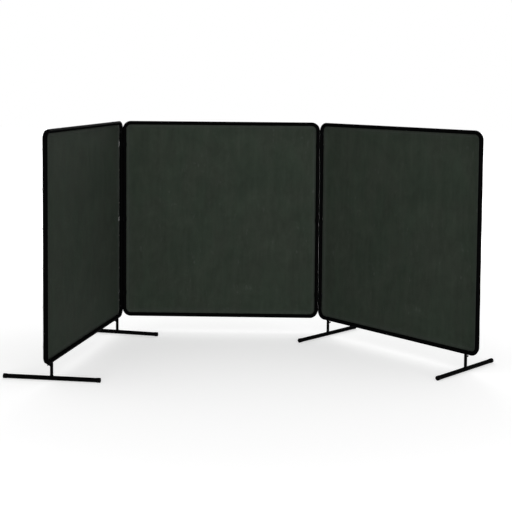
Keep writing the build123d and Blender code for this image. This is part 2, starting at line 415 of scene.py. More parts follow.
def enamel(name, colour, steel, dust, roughness, shine):
    """Black enamel on steel: faint orange peel, thin dust on top, a few chips and rubbed streaks."""
    finish = Finish(name)
    spot = finish.place()
    peel = finish.noise(spot, scale=420.0, detail=2.0, roughness=0.5)
    rubbed = finish.noise(finish.scaled(spot, (1.0, 1.0, 0.35)), scale=24.0, detail=4.0, roughness=0.6)
    flecks = finish.noise(spot, scale=95.0, detail=5.0, roughness=0.62, distortion=0.4)
    chips = flecks.within(0.735, 0.76) * rubbed.within(0.52, 0.66)
    facing = finish.add("ShaderNodeNewGeometry", output="Normal")
    upward = finish.parts(facing)[2].within(0.55, 0.98)
    drifted = finish.noise(spot, scale=38.0, detail=4.0, roughness=0.65).within(0.32, 0.78)
    settled = upward * drifted * 0.4
    dusty = finish.mix(settled, opaque(colour), opaque(dust))
    base = finish.mix(chips * 0.8, dusty, opaque(steel))
    rough = roughness + (rubbed - 0.5) * 0.16 + settled * 0.25 + chips * 0.12
    raised = peel * 0.35 - chips * 1.4 + settled * 0.2
    return finish.shade(
        Base_Color=base, Roughness=rough, Specular_IOR_Level=shine, IOR=COATING_INDEX,
        Normal=finish.bump(raised, PEEL_HEIGHT, strength=0.35),
    )


def moulded(name, colour, roughness, shine, grain, depth):
    """Moulded plastic: a fine spark-eroded grain, slight flow marks and handling shine."""
    finish = Finish(name)
    spot = finish.place()
    texture = finish.noise(spot, grain, roughness=0.6)
    flow = finish.noise(finish.scaled(spot, (1.0, 1.0, 0.2)), scale=60.0, roughness=0.5, distortion=0.8)
    handled = finish.noise(spot, scale=18.0).within(0.42, 0.7)
    base = finish.mix(flow.within(0.3, 0.8) * 0.35, opaque(colour), opaque([part * 1.7 for part in colour]))
    rough = roughness + (texture - 0.5) * 0.12 - handled * 0.1
    return finish.shade(
        Base_Color=base, Roughness=rough, Specular_IOR_Level=shine, IOR=COATING_INDEX,
        Normal=finish.bump(texture * 0.8 + flow * 0.3, depth, strength=0.4),
    )


def plated(name, colour, roughness, dull):
    """Plated metal: brushed polish, dulled patches and fine scratches."""
    finish = Finish(name)
    spot = finish.place()
    patches = finish.noise(spot, scale=140.0, detail=4.0, roughness=0.6).within(0.35, 0.72)
    scratches = finish.noise(finish.scaled(spot, (3.0, 1.0, 0.25)), scale=900.0, detail=2.0, roughness=0.5)
    base = finish.mix(patches * 0.6, opaque(colour), opaque([part * dull for part in colour]))
    rough = roughness + patches * 0.18 + (scratches - 0.5) * 0.12
    return finish.shade(
        Base_Color=base, Roughness=rough, Metallic=0.92,
        Normal=finish.bump(scratches, SCRATCH_HEIGHT, strength=0.3),
    )


def canvas(cover):
    """Dark olive duck canvas: plain weave, vertical smudges, pale rubs and a worn, paler hem."""
    finish = Finish("olive_canvas")
    spot = finish.place()
    x, _, z = finish.parts(spot)

    def spots(across, up, scale=1.0, **shape):
        """Noise whose spots are squeezed across and up the cloth by these factors."""
        return finish.noise(finish.scaled(spot, (across, 1.0, up)), scale, **shape)

    slub = (spots(900.0, 12.0, detail=2.0, roughness=0.5) - 0.5) * 1.2
    warp = x * (math.pi / cover.thread_pitch) + slub
    weft = z * (math.pi / cover.thread_pitch) + slub * 0.8
    warp_wave, weft_wave = warp.sine(), weft.sine()
    over = (0.5 + warp_wave * weft_wave * 0.8).most(0.0).least(1.0)
    weave = over * abs(warp_wave) + (1.0 - over) * abs(weft_wave)

    half_width, half_height = COVER_WIDTH / 2, COVER_HEIGHT / 2
    from_side = half_width - abs(x)
    from_end = half_height - abs(z - MIDDLE_HEIGHT)
    inset = from_side.least(from_end)
    hem = 1.0 - inset.within(cover.hem - HEM_INSIDE, cover.hem + HEM_OUTSIDE)
    beside_hem = 1.0 - inset.within(cover.hem, cover.hem + BESIDE_HEM)

    smudge = spots(5.0, 1.4, scale=1.6, detail=4.0, roughness=0.62, distortion=0.3)
    streaks = spots(26.0, 3.2, roughness=0.6, distortion=0.2)
    cloudy = finish.noise(spot, scale=3.1, detail=2.0, roughness=0.5)
    mottle = spots(9.0, 7.0, roughness=0.6, distortion=0.5)
    tone = smudge * 0.5 + streaks * 0.36 + cloudy * 0.15 + mottle * 0.6 + 0.175 + (weave - 0.5) * 0.4
    tint = spots(2.6, 1.2, scale=1.5, roughness=0.6, distortion=0.4).within(0.36, 0.66)
    shade = finish.joined(tone * (1.05 - tint * 0.09), tone, tone * (1.03 - tint * 0.04))
    dyed = finish.scaled(shade, cover.cloth)
    rubs = spots(34.0, 13.0, detail=4.0, roughness=0.62, distortion=0.4).within(0.57, 0.74)
    handled = spots(3.0, 3.0, detail=2.0, roughness=0.5).within(0.45, 0.62)
    worn = rubs * handled * 0.42 + hem * (0.04 + streaks * 0.18) + beside_hem * 0.08
    base = finish.mix(worn, dyed, opaque(cover.chalk))
    rough = 0.78 + (weave - 0.5) * 0.1 - hem * 0.05 + (smudge - 0.5) * 0.08
    creases = spots(1.0, 0.5, scale=34.0, detail=4.0, distortion=0.6)
    threads = finish.bump(weave, WEAVE_HEIGHT, strength=0.9)
    return finish.shade(
        Base_Color=base, Roughness=rough, Specular_IOR_Level=0.08, Sheen_Weight=0.02, Sheen_Roughness=0.45,
        Normal=finish.bump(creases, CREASE_HEIGHT, strength=0.25, below=threads),
    )


def twisted_thread(cover):
    """Bonded sewing thread: the twist shows as fine diagonal lines."""
    finish = Finish("hem_thread")
    spot = finish.place()
    x, y, z = finish.parts(spot)
    twist = ((x + z + y) * (TURN / TWIST_PITCH)).sine()
    lint = finish.noise(spot, scale=700.0, roughness=0.6)
    base = finish.mix(lint.within(0.4, 0.75) * 0.4 + (twist * 0.5 + 0.5) * 0.2, opaque(cover.thread_colour),
                      opaque(cover.chalk))
    return finish.shade(
        Base_Color=base, Roughness=0.62 + (lint - 0.5) * 0.2, Specular_IOR_Level=0.25,
        Normal=finish.bump(twist, TWIST_HEIGHT, strength=0.5),
    )


def dress(node, material):
    """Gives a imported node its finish."""
    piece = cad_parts[node]
    piece.data.materials.clear()
    piece.data.materials.append(material)


def new_piece(name, points, faces, material, body, matrix, smooth=True):
    """A mesh piece in its own frame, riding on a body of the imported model."""
    mesh = bpy.data.meshes.new(name)
    mesh.from_pydata([tuple(point) for point in points], [], [tuple(face) for face in faces])
    mesh.materials.append(material)
    if mesh.validate():
        raise RuntimeError(f"{name} had faces that Blender had to mend")
    mesh.polygons.foreach_set("use_smooth", [smooth] * len(mesh.polygons))
    piece = bpy.data.objects.new(name, mesh)
    bpy.context.scene.collection.objects.link(piece)
    piece.matrix_world = matrix
    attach(piece, body)
    return piece


def ring_faces(count, sides, closed):
    """Faces that join rings of points in turn. An open run is closed at both ends."""
    faces = []
    for step in range(count if closed else count - 1):
        here, there = step * sides, (step + 1) % count * sides
        for side in range(sides):
            after = (side + 1) % sides
            faces.append((here + side, there + side, there + after, here + after))
    if not closed:
        faces.append(tuple(range(sides)))
        faces.append(tuple(reversed(range((count - 1) * sides, count * sides))))
    return faces


def swept(path, outward, radii, closed, sides=8):
    """A tube round a path. outward gives a direction across the path at each point."""
    path, outward, radii = (np.asarray(value, float) for value in (path, outward, radii))
    if closed:
        tangent = np.roll(path, -1, 0) - np.roll(path, 1, 0)
    else:
        tangent = np.gradient(path, axis=0)
    tangent /= np.linalg.norm(tangent, axis=1, keepdims=True)
    across = outward - (outward * tangent).sum(1, keepdims=True) * tangent
    across /= np.linalg.norm(across, axis=1, keepdims=True)
    along = np.cross(tangent, across)
    turns = np.arange(sides) * TURN / sides
    ring = np.cos(turns)[None, :, None] * across[:, None] + np.sin(turns)[None, :, None] * along[:, None]
    points = (path[:, None] + radii[:, None, None] * ring).reshape(-1, 3)
    return points, ring_faces(len(path), sides, closed)


class Gathered:
    """Points and faces of several shapes for one mesh."""

    def __init__(self):
        self.points, self.faces = [], []

    def take(self, points, faces):
        """Adds a shape."""
        start = len(self.points)
        self.points.extend(map(tuple, points))
        self.faces.extend(tuple(start + corner for corner in face) for face in faces)


# Cloth covers

# The least radius of an inner row's corners, and how near a slot the outline's own points are dropped
LEAST_CORNER = 0.004
SLOT_MARGIN = 0.002
ON_EDGE = 1e-6


def rounded_loop(half_width, half_height, corner, step):
    """Points counter-clockwise round a rounded rectangle about the origin."""
    straight_x, straight_y = half_width - corner, half_height - corner
    points = []
    arc_steps = max(int(math.ceil(corner * math.pi / 2 / step)), 4)
    corners = ((1, -1, -90), (1, 1, 0), (-1, 1, 90), (-1, -1, 180))
    for index, (side_x, side_y, start) in enumerate(corners):
        for turn in range(arc_steps + 1):
            angle = math.radians(start + 90 * turn / arc_steps)
            points.append((side_x * straight_x + corner * math.cos(angle),
                           side_y * straight_y + corner * math.sin(angle)))
        length = 2 * (straight_y if index % 2 == 0 else straight_x)
        count = max(int(round(length / step)), 1)
        last = np.array(points[-1])
        heading = np.array(((0, 1), (-1, 0), (0, -1), (1, 0))[index], float)
        for part in range(1, count):
            points.append(tuple(last + heading * length * part / count))
    return np.array(points)


def notched(loop, notches, half_width, depth):
    """The outline with a slot cut for each hinge clip."""
    points = list(map(tuple, loop))
    for side, height, half in notches:
        low, high = height - half, height + half
        inner = side * (half_width - depth)
        outer = side * half_width
        kept, opened = [], False
        slot = [(outer, low), (inner, low), (inner, (low + high) / 2), (inner, high), (outer, high)]
        if side < 0:
            slot.reverse()
        for point in points:
            on_side = abs(point[0] - outer) < ON_EDGE
            if on_side and low - SLOT_MARGIN < point[1] < high + SLOT_MARGIN:
                if not opened:
                    kept.extend(slot)
                    opened = True
                continue
            kept.append(point)
        points = kept
    return np.array(points)


def drawn_in(loop, distance):
    """A closed counter-clockwise loop offset inward with mitred corners."""
    before, after = loop - np.roll(loop, 1, 0), np.roll(loop, -1, 0) - loop
    before /= np.linalg.norm(before, axis=1, keepdims=True)
    after /= np.linalg.norm(after, axis=1, keepdims=True)
    first = np.stack([-before[:, 1], before[:, 0]], 1)
    second = np.stack([-after[:, 1], after[:, 0]], 1)
    both = first + second
    return loop + both * (2 * distance / (both**2).sum(1))[:, None]


def inset_of(points, half_width, half_height, corner):
    """How far points lie inside the edge of a rounded rectangle about the origin."""
    beyond = np.abs(points) - np.array([half_width - corner, half_height - corner])
    outside = np.linalg.norm(np.maximum(beyond, 0), axis=1)
    return corner - outside - np.minimum(beyond.max(1), 0)


def snap_spots(panel, cover):
    """The snaps of a panel, from the cover's middle."""
    shares = (np.arange(cover.snaps) + 0.5) / cover.snaps - 0.5
    across, up = panel.stile_offset, PANEL_HEIGHT / 2 - TUBE_RADIUS
    width = 2 * (panel.stile_offset + TUBE_RADIUS)
    spots = []
    for share in shares:
        spots += [(-across, share * PANEL_HEIGHT), (across, share * PANEL_HEIGHT)]
        spots += [(share * width, -up), (share * width, up)]
    return np.array(spots)


# How far the two rows of stitches lie from the hem's fold
OUTER_ROW, INNER_ROW = 0.006, 0.0125


def stitch_rows(cover):
    """How far the two rows of stitches lie inside the cover's edge."""
    return cover.hem - OUTER_ROW, cover.hem - INNER_ROW


def smooth_step(value):
    """0 below 0, 1 above 1, and a smooth step between."""
    value = np.clip(value, 0, 1)
    return value * value * (3 - 2 * value)


# The broad waves: how many run over the cover, their share of the slack, where they start and are full
BROAD_WAVES, BROAD_SHARE = 9, 0.55
BROAD_START, BROAD_RISE = 0.024, 0.16
# The least and the most of them across and up a cover, and how they lean
WAVES_ACROSS, WAVES_UP, WAVES_LEAN = (0.6, 2.6), (0.3, 1.5), (-0.6, 0.6)
# The waves along an edge, one to each snap
EDGE_SHARE, EDGE_START, EDGE_RISE, EDGE_PEAK, EDGE_FADE = 0.5, 0.026, 0.02, 0.03, 0.085
# The pull round a snap, in rays, and the small creases close to it
PULL_SHARE, PULL_RAYS, PULL_START, PULL_RISE, PULL_FADE, PULL_REACH = 0.55, 5, 0.015, 0.03, 0.07, 0.3
PUCKER_RAYS, PUCKER_RING, PUCKER_WIDTH = 9, 0.0125, 0.006


def cloth_waves(points, panel, cover, seed):
    """How far the cloth stands back from flat, in metres, from the pull of its snaps and its own weight."""
    rng = np.random.default_rng(seed)
    half_width, half_height = COVER_WIDTH / 2, COVER_HEIGHT / 2
    inset = inset_of(points, half_width, half_height, cover.corner)
    u, v = points[:, 0], points[:, 1]
    free = smooth_step((inset - BROAD_START) / BROAD_RISE)
    height = np.zeros(len(points))
    for _ in range(BROAD_WAVES):
        wave_u, wave_v = rng.uniform(*WAVES_ACROSS), rng.uniform(*WAVES_UP)
        lean, phase = rng.uniform(*WAVES_LEAN), rng.uniform(0, TURN)
        height += np.sin(TURN * (wave_u * (u + lean * v) / COVER_WIDTH + wave_v * v / COVER_HEIGHT) + phase)
    height *= cover.slack * BROAD_SHARE * free
    pitch = 2 * (panel.stile_offset + TUBE_RADIUS) / cover.snaps
    for along, from_edge in ((u, half_height - np.abs(v)), (v, half_width - np.abs(u))):
        fade = np.exp(-np.maximum(from_edge - EDGE_PEAK, 0) / EDGE_FADE)
        fade *= smooth_step((from_edge - EDGE_START) / EDGE_RISE)
        height += cover.slack * EDGE_SHARE * np.cos(TURN * along / pitch) * fade
    spots = snap_spots(panel, cover)
    for spot in spots:
        offset = points - spot
        near = np.hypot(offset[:, 0], offset[:, 1])
        close = near < PULL_REACH
        turn = np.arctan2(offset[close, 1], offset[close, 0])
        tension = np.exp(-near[close] / PULL_FADE) * smooth_step((near[close] - PULL_START) / PULL_RISE)
        height[close] += cover.slack * PULL_SHARE * tension * np.cos(PULL_RAYS * turn + rng.uniform(0, TURN))
        fine = np.exp(-(((near[close] - PUCKER_RING) / PUCKER_WIDTH) ** 2))
        height[close] += cover.pucker * fine * np.cos(PUCKER_RAYS * turn + rng.uniform(0, TURN))
    return height


# How far in an edge is drawn, and where along it the pull starts and is full, from a corner
DRAWN_DEPTH = 0.03
DRAWN_START, DRAWN_RISE = 0.03, 0.09


def drawn_at_edges(points, panel, cover):
    """The cloth's points with its edges drawn in a little between the snaps."""
    half_width, half_height = COVER_WIDTH / 2, COVER_HEIGHT / 2
    pitch = 2 * (panel.stile_offset + TUBE_RADIUS) / cover.snaps
    moved = points.copy()
    for axis, half, other in ((0, half_width, 1), (1, half_height, 0)):
        from_edge = half - np.abs(points[:, axis])
        fade = 1 - smooth_step(from_edge / DRAWN_DEPTH)
        pull = cover.scallop * 0.5 * (1 + np.cos(TURN * points[:, other] / pitch))
        corner_fade = smooth_step((half - np.abs(points[:, other]) - DRAWN_START) / DRAWN_RISE)
        moved[:, axis] -= np.sign(points[:, axis]) * pull * fade * corner_fade
    return moved


def clip_slots(panel, cover):
    """The side, middle height and half height of each clip's slot, and how deep the slots are cut."""
    slots = [(side, height - MIDDLE_HEIGHT, half + cover.slot_room) for side, height, half in panel.notches()]
    return slots, COVER_WIDTH / 2 - panel.stile_offset + cover.slot_reach


# Rows of the cover's points: at its cut edge in shares of its thickness, at the hem's edge, and further in
RIM_ROWS = (0.25, 1.0)
FOLD_ROWS = (-0.0016, -0.0009, -0.0003, 0.0002, 0.0010)
LOOSE_ROWS = (0.004, 0.010, 0.017, 0.024, 0.031, 0.0558, 0.0628)
# The hole for a snap, how near it loose points are dropped and faces are cut, and rings of points round it
SNAP_HOLE = 0.0047
HOLE_MARGIN, HOLE_SHARE = 0.0006, 0.97
SNAP_RINGS = (0.0055, 0.0075, 0.0100, 0.0130, 0.0165, 0.0205)
RING_POINTS = 20
# Half the width of the groove that a row of stitches pulls in
STITCH_SIDE = 0.0024
# How near an edge loose points are dropped, where the even grid starts, and which points count as one
LEAST_STEP = 0.0022
GRID_FROM_HEM = 0.018
SAME_POINT = 1e-7
# The step from doubled cloth to single cloth at the hem's edge: where it starts, and how wide it is
STEP_START, STEP_WIDTH = 0.0010, 0.0011
# How near a cut edge the cloth's thickness follows that edge, at a slot and at the rim
SLOT_RIM, EDGE_RIM = 0.004, 0.002


def cover_pattern(panel, cover):
    """The cover cut flat: its points, its triangles, its outline and its clip slots."""
    half_width, half_height, corner = COVER_WIDTH / 2, COVER_HEIGHT / 2, cover.corner
    notches, notch_depth = clip_slots(panel, cover)
    outline = notched(rounded_loop(half_width, half_height, corner, cover.edge_step), notches, half_width,
                      notch_depth)
    points, edges = [], []

    def loop_in(loop):
        """Adds a closed row of points that the triangles keep to."""
        start = len(points)
        points.extend(map(tuple, loop))
        edges.extend((start + step, start + (step + 1) % len(loop)) for step in range(len(loop)))

    ply = cover.ply
    loop_in(outline)
    for share in RIM_ROWS:
        loop_in(drawn_in(outline, share * ply))
    insets = []
    for row in stitch_rows(cover):
        insets += [row - STITCH_SIDE, row, row + STITCH_SIDE]
    insets += [cover.hem + offset for offset in FOLD_ROWS]

    def row_at(distance):
        """A row round the cover at a distance inside its edge."""
        bend = max(corner - distance, LEAST_CORNER)
        return rounded_loop(half_width - distance, half_height - distance, bend, cover.edge_step)

    for distance in insets:
        loop_in(row_at(distance))
    spots = snap_spots(panel, cover)
    turns = np.arange(RING_POINTS) * TURN / RING_POINTS
    circle = np.stack([np.cos(turns), np.sin(turns)], 1)
    for spot in spots:
        loop_in(spot + SNAP_HOLE * circle)

    loose = [row_at(distance) for distance in LOOSE_ROWS]
    loose += [spot + reach * circle for spot in spots for reach in SNAP_RINGS]
    step = cover.mesh_step
    across = np.arange(-half_width, half_width + step, step)
    up = np.arange(-half_height, half_height + step, step)
    grid = np.stack(np.meshgrid(across, up), -1).reshape(-1, 2)
    grid[:, 0] += np.where(np.round(grid[:, 1] / step).astype(int) % 2 == 0, 0, step / 2)
    grid = grid[inset_of(grid, half_width, half_height, corner) > cover.hem + GRID_FROM_HEM]
    loose.append(grid)
    loose = np.concatenate(loose)
    inside = inset_of(loose, half_width, half_height, corner) > LEAST_STEP
    for side, height, half in notches:
        in_slot = (side * loose[:, 0] > half_width - notch_depth - LEAST_STEP) & (
            np.abs(loose[:, 1] - height) < half + LEAST_STEP)
        inside &= ~in_slot
    near_hole = np.zeros(len(loose), bool)
    for spot in spots:
        near_hole |= np.hypot(*(loose - spot).T) < SNAP_HOLE + HOLE_MARGIN
    loose = loose[inside & ~near_hole]
    # Drops loose points that lie on top of one another, where rings and loops cross
    cells = np.unique(np.round(loose / STITCH_SIDE).astype(int), axis=0, return_index=True)[1]
    points = np.concatenate([np.array(points), loose[np.sort(cells)]])

    flat, _, triangles, *_ = delaunay_2d_cdt([Vector(point) for point in points], edges, [], 0, SAME_POINT)
    flat = np.array([tuple(point) for point in flat])
    triangles = np.array([tuple(face) for face in triangles])
    centres = flat[triangles].mean(1)
    keep = inset_of(centres, half_width, half_height, corner) > 0
    for side, height, half in notches:
        keep &= ~((side * centres[:, 0] > half_width - notch_depth) & (np.abs(centres[:, 1] - height) < half))
    for spot in spots:
        keep &= np.hypot(*(centres - spot).T) > SNAP_HOLE * HOLE_SHARE
    triangles = triangles[keep]
    corners = flat[triangles]
    first, second = corners[:, 1] - corners[:, 0], corners[:, 2] - corners[:, 0]
    area = first[:, 0] * second[:, 1] - first[:, 1] * second[:, 0]
    triangles[area < 0] = triangles[area < 0][:, ::-1]
    return flat, triangles, outline, notches, notch_depth


def distance_to_loop(points, loop):
    """The distance from each point to a closed loop of straight lines."""
    best = np.full(len(points), np.inf)
    starts, ends = loop, np.roll(loop, -1, 0)
    for start, end in zip(starts, ends):
        along = end - start
        share = np.clip(((points - start) @ along) / (along @ along), 0, 1)
        gap = points - start - share[:, None] * along
        np.minimum(best, np.hypot(gap[:, 0], gap[:, 1]), out=best)
    return best


def cover_mesh(panel, cover, seed):
    """The whole cover as one closed skin of doubled hem and single cloth, in the panel's own frame."""
    flat, triangles, outline, notches, notch_depth = cover_pattern(panel, cover)
    half_width, half_height, corner = COVER_WIDTH / 2, COVER_HEIGHT / 2, cover.corner
    ply = cover.ply
    inset = inset_of(flat, half_width, half_height, corner)
    from_edge = inset.copy()
    near_notch = np.zeros(len(flat), bool)
    for side, height, half in notches:
        near_notch |= (side * flat[:, 0] > half_width - notch_depth - SLOT_RIM) & (
            np.abs(flat[:, 1] - height) < half + SLOT_RIM)
    near_notch |= inset < EDGE_RIM
    from_edge[near_notch] = np.minimum(from_edge[near_notch], distance_to_loop(flat[near_notch], outline))
    sides = np.sort(np.concatenate([triangles[:, [0, 1]], triangles[:, [1, 2]], triangles[:, [2, 0]]]), 1)
    pairs, uses = np.unique(sides, axis=0, return_counts=True)
    rim = np.zeros(len(flat), bool)
    rim[pairs[uses == 1].ravel()] = True

    rounded = np.sqrt(np.clip(1 - (1 - np.clip(from_edge / ply, 0, 1)) ** 2, 0, 1))
    in_hem = 1 - smooth_step((inset - cover.hem + STEP_START) / STEP_WIDTH)
    groove = np.zeros(len(flat))
    for row in stitch_rows(cover):
        groove = np.maximum(groove, np.clip(1 - np.abs(inset - row) / STITCH_SIDE, 0, 1))
    seam = COVER_FRONT + ply
    front = seam - rounded * (ply * in_hem - cover.groove * groove)
    back = seam + rounded * (ply - cover.groove * groove)
    waves = cloth_waves(flat, panel, cover, seed)
    moved = drawn_at_edges(flat, panel, cover)

    def standing(depth):
        """The cover's points stood up in the panel, at a depth of their own."""
        return np.stack([moved[:, 0], depth + waves, moved[:, 1] + MIDDLE_HEIGHT], 1)

    used = np.unique(triangles)
    number = np.full(len(flat), -1)
    number[used] = np.arange(len(used))
    back_number = number.copy()
    inner = used[~rim[used]]
    back_number[inner] = len(used) + np.arange(len(inner))
    front_depth, back_depth = front.copy(), back.copy()
    front_depth[rim] = seam
    points = np.concatenate([standing(front_depth)[used], standing(back_depth)[inner]])
    faces = np.concatenate([number[triangles], back_number[triangles][:, ::-1]])
    return points, faces


# Where a stitch dips and rises, as shares of its length
DIPS = np.array([0.0, 0.28, 0.72, 1.0])
# Where the thread shows in one stitch of a seam, as shares of its length
SHOWS_FROM, SHOWN = 0.08, 0.84
SEAM_STEP = 0.002
# How far from a slot's edge a binding stitch starts, clear of the clip that turns in the slot, and its length
BINDING_START, BINDING_LENGTH = 0.0012, 0.0034
# How far inside the cover's edge the binding of a slot ends
BINDING_END = 0.002
# The height and width of the thread along a stitch, and its thickness, as shares of half its full width
THREAD_HEIGHT = np.array([-0.25, 0.55, 0.55, -0.25])
THREAD_WIDTH = np.array([0.55, 1.0, 1.0, 0.55])
THREAD_THICKNESS = 0.8
# The corners of the thread's section: across the stitch, and out from the cloth
THREAD_CORNERS = ((1, 0), (0, 1), (-1, 0), (0, -1))


def seam_stitches(cover, row):
    """Both ends and two middle points of each stitch in a row round the hem."""
    bend = max(cover.corner - row, LEAST_CORNER)
    loop = rounded_loop(COVER_WIDTH / 2 - row, COVER_HEIGHT / 2 - row, bend, SEAM_STEP)
    closed = np.concatenate([loop, loop[:1]])
    run = np.concatenate([[0], np.cumsum(np.linalg.norm(np.diff(closed, axis=0), axis=1))])
    count = int(run[-1] / cover.stitch)
    where = (np.arange(count)[:, None] + DIPS * SHOWN + SHOWS_FROM).ravel() * run[-1] / count
    return np.stack([np.interp(where, run, closed[:, axis]) for axis in (0, 1)], 1).reshape(count, -1, 2)


def slot_stitches(panel, cover):
    """The close stitches that bind the edges of the clip slots, each square to its edge."""
    slots, depth = clip_slots(panel, cover)
    lines = []
    for side, height, half in slots:
        inner, outer = side * (COVER_WIDTH / 2 - depth), side * (COVER_WIDTH / 2 - BINDING_END)
        edges = (
            ((inner, height - half), (outer, height - half), (0, -1)),
            ((inner, height - half), (inner, height + half), (-side, 0)),
            ((inner, height + half), (outer, height + half), (0, 1)),
        )
        for start, end, way in edges:
            start, end, way = (np.array(value, float) for value in (start, end, way))
            count = int(np.linalg.norm(end - start) / cover.binding)
            for step in range(count):
                foot = start + (end - start) * (step + 0.5) / count
                lines.append(foot + way * (BINDING_START + BINDING_LENGTH * DIPS)[:, None])
    return np.array(lines)


def thread_mesh(lines, face, outward, waves, cover):
    """A short arched length of thread for each stitch. outward is -1 on the front and 1 on the back."""
    count, half = len(lines), cover.thread / 2
    depth = face + waves + outward * half * THREAD_HEIGHT
    along = np.gradient(lines, axis=1)
    along /= np.linalg.norm(along, axis=2, keepdims=True)
    side = np.stack([-along[:, :, 1], along[:, :, 0]], 2)
    width = half * THREAD_WIDTH
    rings = []
    for across, out in THREAD_CORNERS:
        spot = lines + side * (across * width)[None, :, None]
        height = spot[:, :, 1] + MIDDLE_HEIGHT
        rings.append(np.stack([spot[:, :, 0], depth + outward * out * width * THREAD_THICKNESS, height], 2))
    one_stitch = np.array(ring_faces(len(DIPS), len(THREAD_CORNERS), False))
    if outward < 0:
        one_stitch = one_stitch[:, ::-1]
    starts = np.arange(count) * len(DIPS) * len(THREAD_CORNERS)
    return np.stack(rings, 2).reshape(-1, 3), (starts[:, None, None] + one_stitch).reshape(-1, 4)


def stitching_mesh(panel, cover, seed):
    """The rows round the hem and the bound slots, on the front and on the back."""
    made = Gathered()
    rows = [(seam_stitches(cover, row), cover.groove) for row in stitch_rows(cover)]
    rows.append((slot_stitches(panel, cover), 0.0))
    for lines, sunk in rows:
        waves = cloth_waves(lines.reshape(-1, 2), panel, cover, seed).reshape(lines.shape[:2])
        for face, outward in ((COVER_FRONT + sunk, -1), (COVER_FRONT + 2 * cover.ply - sunk, 1)):
            made.take(*thread_mesh(lines, face, outward, waves, cover))
    return made


# Welds and threads

# The ripples of a weld: a full scale and a faint one of another pace, as shares of the bead's radius
SCALE, FAINT_SCALE, FAINT_PACE, FAINT_START = 0.10, 0.04, 2.37, 0.8
RINGS_TO_RIPPLE = 4
# How thin an open bead gets at its ends, and how bluntly
END_SHARE, END_POWER = 0.04, 0.25
STUB_WELD_RINGS = 28
# How far a bead's middle stands off the metal, as a share of its radius
BESIDE_POST, BESIDE_STUB, ABOVE_METAL = 0.25, 0.3, 0.2
# The part of a bar's radius over which a post's weld follows its round
BAR_REACH = 0.98


def ripples(count_along, spacing, radius):
    """The radius along a bead, with a scale at each ripple."""
    turns = np.arange(count_along) * spacing[0] / spacing[1] * TURN
    return radius * (1 + SCALE * np.sin(turns) + FAINT_SCALE * np.sin(FAINT_PACE * turns + FAINT_START))


def bead(path, outward, radius, ripple, closed):
    """A weld bead along a path of even steps."""
    steps = np.linalg.norm(np.diff(path, axis=0), axis=1).mean()
    radii = ripples(len(path), (steps, ripple), radius)
    if not closed:
        ends = np.linspace(-1, 1, len(path))
        radii = radii * np.clip(1 - ends**2, END_SHARE, 1) ** END_POWER
    return swept(path, outward, radii, closed)


def round_steps(radius, ripple):
    """The turns round a circle at which a bead has its rings."""
    count = int(TURN * radius / (ripple / RINGS_TO_RIPPLE))
    return np.arange(count) * TURN / count


def foot_welds(foot, look):
    """The bead where a post meets its bar, and the one round its nut, in the foot's own frame."""
    post_radius = extent(f"{foot}_post").x / 2
    bar_radius, bar_height = extent(f"{foot}_foot_bar").z / 2, middle(f"{foot}_foot_bar").z
    made = Gathered()
    turns = round_steps(post_radius, look.ripple)
    outward = np.stack([np.cos(turns), np.sin(turns), np.zeros(len(turns))], 1)
    path = outward * (post_radius + look.bead * BESIDE_POST)
    on_bar = np.sqrt(bar_radius**2 - np.minimum(np.abs(path[:, 0]), bar_radius * BAR_REACH) ** 2)
    path[:, 2] = bar_height + on_bar + look.bead * ABOVE_METAL
    made.take(*bead(path, outward, look.bead, look.ripple, True))
    turns = round_steps(look.nut_weld, look.ripple)
    outward = np.stack([np.cos(turns), np.zeros(len(turns)), np.sin(turns)], 1)
    path = outward * look.nut_weld
    path[:, 1] = np.sqrt(post_radius**2 - path[:, 0] ** 2) + look.tack * ABOVE_METAL
    path[:, 2] += middle(f"{foot}_weld_nut").z
    made.take(*bead(path, outward, look.tack, look.ripple, True))
    return made


def stub_welds(panel, look):
    """Short welds at the front and back of each stub, where it meets the bottom rail."""
    made = Gathered()
    inverse = panel.matrix.inverted()
    turns = np.linspace(-look.stub_weld, look.stub_weld, STUB_WELD_RINGS)
    for end in ("front", "back"):
        post = inverse @ middle(f"{panel.name}_{end}_post")
        for face in (-1, 1):
            outward = np.stack([np.sin(turns), face * np.cos(turns), np.zeros(len(turns))], 1)
            path = outward * (look.stub + look.tack * BESIDE_STUB)
            on_rail = np.sqrt(TUBE_RADIUS**2 - path[:, 1] ** 2)
            path[:, 2] = PANEL_BOTTOM + TUBE_RADIUS - on_rail - look.tack * ABOVE_METAL
            path[:, 0] += post.x
            made.take(*bead(path, outward, look.tack, look.ripple, False))
    return made


# The thread of a set screw: the shares of its pitch that are root and flank, and how it runs out at its ends
ROOT, FLANK = 0.12, 0.76
POINT_RUN, HEAD_RUN, LEFT_AT_HEAD = 0.001, 0.0006, 0.35
RINGS_TO_PITCH = 10
THREAD_SIDES, HEAD_SIDES = 28, 48
# The head's chamfers: their heights under and on the head, and how far they cut its corners
CHAMFER_BELOW, CHAMFER_ABOVE = 0.0004, 0.0009
CUT_BELOW, CUT_ABOVE = 0.92, 0.88


def screw_thread(y, share, hardware, head_start):
    """The radius of the thread at a place along the screw, at a share of the way round it."""
    crest = abs((y / hardware.thread_pitch - share) % 1 - 0.5) * 2
    flank = min(max((crest - ROOT) / FLANK, 0), 1)
    fade = min(1.0, (y - hardware.tip) / POINT_RUN, (head_start - y) / HEAD_RUN + LEFT_AT_HEAD)
    radius = hardware.screw - hardware.thread_depth * (1 - flank) * fade
    chamfer = hardware.screw - hardware.screw_point + (y - hardware.tip)
    return min(radius, chamfer)


def hex_edge(turn, hardware, share):
    """The radius of a hex head at an angle, with its corners cut to a share of their reach."""
    flat = hardware.head_width / 2
    edge = flat / math.cos((turn + TURN / 12) % (TURN / 6) - TURN / 12)
    return min(edge, share * flat / math.cos(TURN / 12))


